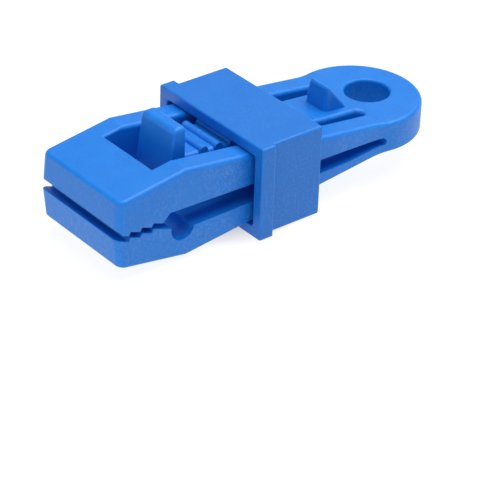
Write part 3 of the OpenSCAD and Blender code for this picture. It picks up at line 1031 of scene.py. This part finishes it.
@dataclass
class LatchTongue(Moulding):
    """The tongue in the upper arm's window, with its thumb tab and its ratchet ribs."""

    half_w: float = 5.2
    tab_top_half_w: float = 5.0
    start_x: float = 4.0
    seam_x: float = 8.1
    seam_z: float = 3.551
    rise_x: float = 5.2
    rise_z: float = 3.2
    settle_x: float = 12.0
    slit_end_x: float = 6.35
    slit_end_z: float = 0.05
    bend_x: float = 13.95
    bend_end_x: float = 17.95
    root_z: float = 1.88
    tab_front_x: float = 53.05
    tab_rear_x: float = 49.0
    tab_top_len: float = 2.6
    tab_top_z: float = 13.05
    tab_foot_z: float = 2.0
    tip_z: float = 7.1
    front_corner_r: float = 0.5
    rear_corner_r: float = 0.5
    tab_top_r: float = 1.4
    tab_top_rear_r: float = 0.55
    tab_foot_r: float = 0.15
    side_edge_r: float = 0.85
    rib_count: int = 3
    rib_pitch: float = 3.5
    rib_back: float = 4.2
    rib_r: float = 1.0
    rib_rise: float = 0.8
    rib_nose: float = 0.8
    rib_least: float = 0.02
    rib_rings: int = 97
    rib_sides: int = 32
    fillet_r: float = 0.25
    bend_r: float = 4.0

    def top_z(self, x: float) -> float:
        """Returns the height of the tongue's upper face."""
        share = (x - self.rise_x) / (self.tab_rear_x - self.rise_x)
        return self.rise_z + (self.tip_z - self.rise_z) * share

    def outline(self) -> list[Point]:
        """Lists the side outline of the tongue with its tab.

        Returns:
            The outline's points.
        """
        slope = (self.root_z - self.slit_end_z) / (self.bend_x - self.slit_end_x)
        return [
            (self.start_x, self.seam_z), (self.seam_x, self.seam_z),
            (self.settle_x, self.top_z(self.settle_x)), (self.tab_rear_x, self.tip_z),
            (self.tab_rear_x, self.tab_top_z), (self.tab_rear_x + self.tab_top_len, self.tab_top_z),
            (self.tab_front_x, self.tab_foot_z), (self.bend_x, self.root_z),
            (self.start_x, self.root_z - slope * (self.bend_x - self.start_x)),
        ]

    def edge_radius(self, site: EdgeSite) -> float:
        """Gives the rounding of an edge of the tongue.

        Args:
            site: The edge.

        Returns:
            Its radius in millimetres.
        """
        x, _, z = site.middle
        if not site.convex:
            return self.fillet_r
        middle_x = self.tab_rear_x + self.tab_top_len / 2
        if abs(site.along.z) > MOSTLY and x > self.tab_rear_x - NEAR:
            return self.front_corner_r if x > middle_x else self.rear_corner_r
        if z > self.tab_top_z - NEAR / 2:
            share = min(max((x - self.tab_rear_x) / self.tab_top_len, 0.0), 1.0)
            return self.tab_top_rear_r + (self.tab_top_r - self.tab_top_rear_r) * share
        if abs(site.along.y) <= FULLY:
            return self.side_edge_r
        return self.tab_foot_r if x > self.tab_front_x - NEAR else self.bend_r

    def build(self) -> None:
        """Builds the tongue and its ribs, and says what they ride on."""
        half_w = self.half_w + OVERRUN
        work = draw_out("tongue_moulding", Facing.SIDE, self.outline(), -half_w, half_w)
        top = (self.tab_top_half_w, self.tab_top_z + OVERRUN)
        half = [(self.half_w, -OVERRUN), (self.half_w, self.tip_z), top]
        front = half + [(-y, z) for y, z in reversed(half)]
        ends = (self.start_x - OVERRUN, self.tab_front_x + OVERRUN)
        draft = draw_out("draft", Facing.FRONT, front, *ends)
        combine(work, draft, Cut.KEEP_COMMON)
        round_edges(work, self.edge_radius)
        with editing(work.data) as bm:
            bmesh.ops.holes_fill(bm, edges=slice_across(bm, self.seam_x, drop_root=True), sides=0)
            bmesh.ops.recalc_face_normals(bm, faces=bm.faces)
        add_loops(work, self.bend_x, self.bend_end_x)
        dress(work, self.plastic)
        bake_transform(work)
        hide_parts("tongue_bend", "latch_tongue")
        report(work, Body.TONGUE)
        self.build_ribs()

    def rib_tree(self) -> bpy.types.GeometryNodeTree:
        """Builds the geometry nodes of the ratchet ribs: round bars with round ends, in a row.

        Returns:
            The node group, whose inputs hold the ribs' sizes and their plastic.
        """
        tree = bpy.data.node_groups.new("ratchet_rib_row", "GeometryNodeTree")
        for name, kind in (
            ("Rib Count", "Int"), ("First Rib", "Vector"), ("Step", "Vector"), ("Rib Radius", "Float"),
            ("Rib Length", "Float"), ("Nose Length", "Float"), ("Plastic", "Material"),
        ):
            tree.interface.new_socket(name, in_out="INPUT", socket_type="NodeSocket" + kind)
        tree.interface.new_socket("Ribs", in_out="OUTPUT", socket_type="NodeSocketGeometry")
        kit = NodeKit(tree)

        def made(kind: str, given: Mapping[str | int, object], **settings: object) -> Socket:
            """Adds a node and returns its first output."""
            return kit.add(kind, given, **settings).outputs[0]

        given = kit.add("NodeGroupInput").outputs
        row = made(
            "GeometryNodeMeshLine",
            {"Count": given["Rib Count"], "Start Location": given["First Rib"], "Offset": given["Step"]},
            mode="OFFSET",
        )
        half = kit.math("MULTIPLY", given["Rib Length"], 0.5)
        ends = {
            name: made("ShaderNodeCombineXYZ", {"Y": kit.math("MULTIPLY", half, side)})
            for name, side in (("Start", -1.0), ("End", 1.0))
        }
        line = made("GeometryNodeCurvePrimitiveLine", ends)
        fine = made("GeometryNodeResampleCurve", {"Curve": line, "Count": self.rib_rings})
        factor = kit.add("GeometryNodeSplineParameter").outputs["Factor"]
        middle = kit.math("ABSOLUTE", kit.math("SUBTRACT", kit.math("MULTIPLY", factor, 2.0), 1.0))
        from_end = kit.math("MULTIPLY", kit.math("SUBTRACT", 1.0, middle), half)
        nose = kit.math("MULTIPLY", given["Rib Radius"], given["Nose Length"])
        off = kit.math("SUBTRACT", 1.0, kit.math("MINIMUM", kit.math("DIVIDE", from_end, nose), 1.0))
        swell = kit.math("SQRT", kit.math("SUBTRACT", 1.0, kit.math("MULTIPLY", off, off)))
        swell = kit.math("MAXIMUM", swell, self.rib_least)
        curve = made("GeometryNodeSetCurveRadius", {"Curve": fine, "Radius": swell})
        size = {"Resolution": self.rib_sides, "Radius": given["Rib Radius"]}
        ring = made("GeometryNodeCurvePrimitiveCircle", size, mode="RADIUS")
        parts = {"Curve": curve, "Profile Curve": ring, "Fill Caps": True}
        smooth = made("GeometryNodeSetShadeSmooth", {"Geometry": made("GeometryNodeCurveToMesh", parts)})
        spread = made("GeometryNodeInstanceOnPoints", {"Points": row, "Instance": smooth})
        real = made("GeometryNodeRealizeInstances", {0: spread})
        ribs = made("GeometryNodeSetMaterial", {"Geometry": real, "Material": given["Plastic"]})
        kit.add("NodeGroupOutput", {"Ribs": ribs})
        return tree

    def build_ribs(self) -> None:
        """Builds the ratchet ribs from their geometry nodes."""
        work = link("ratchet_ribs", bpy.data.meshes.new("ratchet_ribs"))
        tree = self.rib_tree()
        x = self.tab_rear_x - self.rib_back
        slope = self.top_z(1.0) - self.top_z(0.0)
        z = self.top_z(x) + self.rib_rise - self.rib_r
        values = {
            "Rib Count": self.rib_count,
            "First Rib": (x * MM, 0.0, z * MM),
            "Step": (-self.rib_pitch * MM, 0.0, -self.rib_pitch * slope * MM),
            "Rib Radius": self.rib_r * MM,
            "Rib Length": 2 * self.half_w * MM,
            "Nose Length": self.rib_nose,
            "Plastic": self.plastic,
        }
        modifier = work.modifiers.new("ribs", "NODES")
        modifier.node_group = tree
        for item in tree.interface.items_tree:
            if item.item_type == "SOCKET" and item.in_out == "INPUT":
                modifier[item.identifier] = values[item.name]
        settle(work)
        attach(work, Body.TONGUE.value)
        report(work, Body.TONGUE)


@dataclass
class StopWedge(Moulding):
    """The wedge at the tongue's root that stops the collar."""

    foot_x: float = 13.6
    lean: float = 0.7
    length: float = 5.6
    half_w: float = 3.15
    top_half_w: float = 2.9
    foot_z: float = 3.95
    tip_z: float = 3.45
    top_z: float = 9.67
    sink: float = 0.8
    apex_r: float = 0.65
    corner_r: float = 1.1
    side_r: float = 0.55
    upright_share: float = 0.8

    def edge_radius(self, site: EdgeSite) -> float:
        """Gives the rounding of an edge of the wedge.

        Args:
            site: The edge.

        Returns:
            Its radius in millimetres.
        """
        x, _, z = site.middle
        if z < self.tip_z:
            return 0.0
        if abs(site.along.y) > MOSTLY:
            return self.apex_r
        if abs(site.along.z) > self.upright_share and x > self.foot_x - self.lean - 3 * NEAR:
            return self.corner_r
        return self.side_r

    def build(self) -> None:
        """Builds the wedge and says what it rides on."""
        side = [
            (self.foot_x, self.foot_z - self.sink), (self.foot_x, self.foot_z),
            (self.foot_x - self.lean, self.top_z), (self.foot_x - self.length, self.tip_z),
            (self.foot_x - self.length, self.tip_z - self.sink),
        ]
        front = [
            (-self.half_w, 0.0), (-self.half_w, self.foot_z), (-self.top_half_w, self.top_z),
            (self.top_half_w, self.top_z), (self.half_w, self.foot_z), (self.half_w, 0.0),
        ]
        half_w = self.half_w + OVERRUN
        work = draw_out("stop_wedge", Facing.SIDE, side, -half_w, half_w)
        tool = draw_out("front", Facing.FRONT, front, 0.0, self.foot_x + OVERRUN)
        combine(work, tool, Cut.KEEP_COMMON)
        round_edges(work, self.edge_radius)
        dress(work, self.plastic)
        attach(work, Body.ROOT.value)
        report(work, Body.ROOT)


@dataclass
class SlidingCollar(Moulding):
    """The rectangular collar with its thicker front rim."""

    rear_x: float = 24.1
    front_x: float = 39.4
    rim_len: float = 3.2
    half_w: float = 14.75
    half_h: float = 9.55
    rim_half_w: float = 15.9
    rim_half_h: float = 9.85
    passage_half_w: float = 13.5
    passage_half_h: float = 7.55
    edge_r: float = 0.6
    face_edge_r: float = 0.4
    inner_r: float = 0.8
    step_edge_r: float = 0.14
    step_r: float = 0.1
    side_step_r: float = 0.4
    passage_edge_r: float = 0.25

    def edge_radius(self, site: EdgeSite) -> float:
        """Gives the rounding of an edge of the collar.

        Args:
            site: The edge.

        Returns:
            Its radius in millimetres.
        """
        x, y, z = site.middle
        lengthwise, crosswise = (abs(share) > MOSTLY for share in site.along[:2])
        if abs(y) < self.passage_half_w + NEAR and abs(z) < self.passage_half_h + NEAR:
            return self.inner_r if lengthwise else self.passage_edge_r
        if not site.convex:
            return self.step_r if crosswise else self.side_step_r
        if lengthwise:
            return self.edge_r
        at_step = abs(x - self.front_x + self.rim_len) < NEAR
        return self.step_edge_r if at_step and crosswise else self.face_edge_r

    def build(self) -> None:
        """Builds the collar and says what it rides on."""
        rim_x = self.front_x - self.rim_len
        bars = (
            ("sliding_collar", self.half_w, self.half_h, self.rear_x, rim_x + OVERRUN),
            ("rim", self.rim_half_w, self.rim_half_h, rim_x, self.front_x),
            (
                "passage", self.passage_half_w, self.passage_half_h,
                self.rear_x - OVERRUN, self.front_x + OVERRUN,
            ),
        )
        work, rim, passage = (
            draw_out(name, Facing.FRONT, rectangle(half_w, half_h), start, end)
            for name, half_w, half_h, start, end in bars
        )
        combine(work, rim, Cut.JOIN)
        combine(work, passage, Cut.TAKE_AWAY)
        round_edges(work, self.edge_radius)
        dress(work, self.plastic)
        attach(work, Body.COLLAR.value)
        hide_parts("slide_collar")
        report(work, Body.COLLAR)


@dataclass(frozen=True)
class Softbox:
    """A square area light."""

    name: str
    place: Place
    size: float
    power: float

    def build(self, target: Vector) -> None:
        """Hangs the light and turns it to the target.

        Args:
            target: The point that it faces.
        """
        data = bpy.data.lights.new(self.name, "AREA")
        data.shape = "SQUARE"
        data.size = self.size
        data.energy = self.power
        made = bpy.data.objects.new(self.name, data)
        bpy.context.scene.collection.objects.link(made)
        made.location = self.place
        made.rotation_euler = (target - Vector(self.place)).to_track_quat("-Z", "Y").to_euler()


@dataclass
class Studio:
    """The pale floor, the soft light and the camera at the photograph's angle."""

    azimuth: float = 140.61
    elevation: float = 31.69
    roll: float = 1.92
    distance: float = 461.67
    target: Place = (31.437, 0.0, -20.001)
    focal_px: float = 2358.1
    image_px: float = 478.0
    sensor: float = 36.0
    floor_z: float = -9.9
    floor_half: float = 1500.0
    floor_glow: float = 0.90
    # A painted shadow on the floor: its glow is dimmer in an oval beside the clip's far side.
    shade_x: tuple[float, float] = (37.0, 19.0)
    shade_y: tuple[float, float] = (-9.0, 25.0)
    shade_core: float = 0.6
    shade_glow: float = 0.45
    paper_tones: tuple[float, float] = (0.15, 0.17)
    paper_scale: float = 6.0
    paper_roughness: float = 0.9
    paper_shine: float = 0.1
    clip_near: float = 0.01
    clip_far: float = 20.0
    world_light: float = 0.36
    light_target: Place = (0.03, 0.0, 0.0)

    def build_camera(self) -> None:
        """Places the camera."""
        a, e, roll = (math.radians(v) for v in (self.azimuth, self.elevation, self.roll))
        back = Vector((math.sin(a) * math.cos(e), -math.cos(a) * math.cos(e), math.sin(e)))
        right = Vector((0, 0, 1)).cross(back).normalized()
        up = back.cross(right)
        turned = right * math.cos(roll) + up * math.sin(roll)
        upward = up * math.cos(roll) - right * math.sin(roll)
        place = (Vector(self.target) + back * self.distance) * MM
        data = bpy.data.cameras.new("photo_camera")
        data.sensor_width = self.sensor
        data.lens = self.focal_px / self.image_px * self.sensor
        data.clip_start = self.clip_near
        data.clip_end = self.clip_far
        made = bpy.data.objects.new("photo_camera", data)
        bpy.context.scene.collection.objects.link(made)
        rotation = Matrix((turned, upward, back)).transposed().to_4x4()
        made.matrix_world = Matrix.Translation(place) @ rotation
        bpy.context.scene.camera = made

    def build_floor(self) -> None:
        """Lays the pale, self-lit floor, with a painted shadow that makes it dimmer close beside the
        clip's far side.
        """
        half, z = self.floor_half, self.floor_z
        mesh = bpy.data.meshes.new("pale_floor")
        with editing(mesh) as bm:
            bm.faces.new([bm.verts.new(Vector((x, y, z)) * MM) for x, y in rectangle(half, half)])
        floor = link("pale_floor", mesh)
        material = bpy.data.materials.new("pale_paper")
        material.use_nodes = True
        kit = NodeKit(material.node_tree)
        place = kit.add("ShaderNodeTexCoord").outputs["Object"]
        tone = kit.noise(place, self.paper_scale, detail=2.0)
        spot = kit.add("ShaderNodeSeparateXYZ", {0: place}).outputs
        shares = []
        for axis, (centre, reach) in (("X", self.shade_x), ("Y", self.shade_y)):
            share = kit.math("DIVIDE", kit.math("SUBTRACT", spot[axis], centre * MM), reach * MM)
            shares.append(kit.math("MULTIPLY", share, share))
        from_middle = kit.math("SQRT", kit.math("ADD", *shares))
        dim = self.floor_glow * self.shade_glow
        shader = material.node_tree.nodes["Principled BSDF"]
        for name, value in {
            "Base Color": kit.mix(tone, *((v, v, v, 1.0) for v in self.paper_tones)),
            "Roughness": self.paper_roughness,
            "Specular IOR Level": self.paper_shine,
            "Emission Color": (1.0, 1.0, 1.0, 1.0),
            "Emission Strength": kit.span(from_middle, self.shade_core, 1.0, dim, self.floor_glow),
        }.items():
            kit.put(shader.inputs[name], value)
        mesh.materials.append(material)

    def build_light(self) -> None:
        """Sets the even light of the surroundings and hangs the softboxes."""
        scene = bpy.context.scene
        world = bpy.data.worlds.new("studio_light")
        world.use_nodes = True
        background = world.node_tree.nodes["Background"]
        background.inputs["Color"].default_value = (1.0, 1.0, 1.0, 1.0)
        background.inputs["Strength"].default_value = self.world_light
        scene.world = world
        scene.view_settings.view_transform = "Standard"
        for box in (
            Softbox("softbox_above", place=(-0.25, 0.0, 0.87), size=1.0, power=10.2),
            Softbox("softbox_left", place=(0.80, 0.04, 0.50), size=0.6, power=1.4),
        ):
            box.build(Vector(self.light_target))

    def build(self) -> None:
        """Builds the whole studio."""
        self.build_camera()
        self.build_floor()
        self.build_light()


def main() -> None:
    """Builds the clip and its studio in order."""
    logging.basicConfig(level=logging.INFO, format="%(name)s %(message)s", force=True)
    groups = (MouldedSkin().build(), faces_group())
    body_plastic = BODY_FINISH.build(*groups)
    collar_plastic = COLLAR_FINISH.build(*groups)
    ForkedBody(body_plastic).build()
    LatchTongue(body_plastic).build()
    StopWedge(body_plastic).build()
    SlidingCollar(collar_plastic).build()
    Studio().build()


if __name__ == "__main__":
    main()
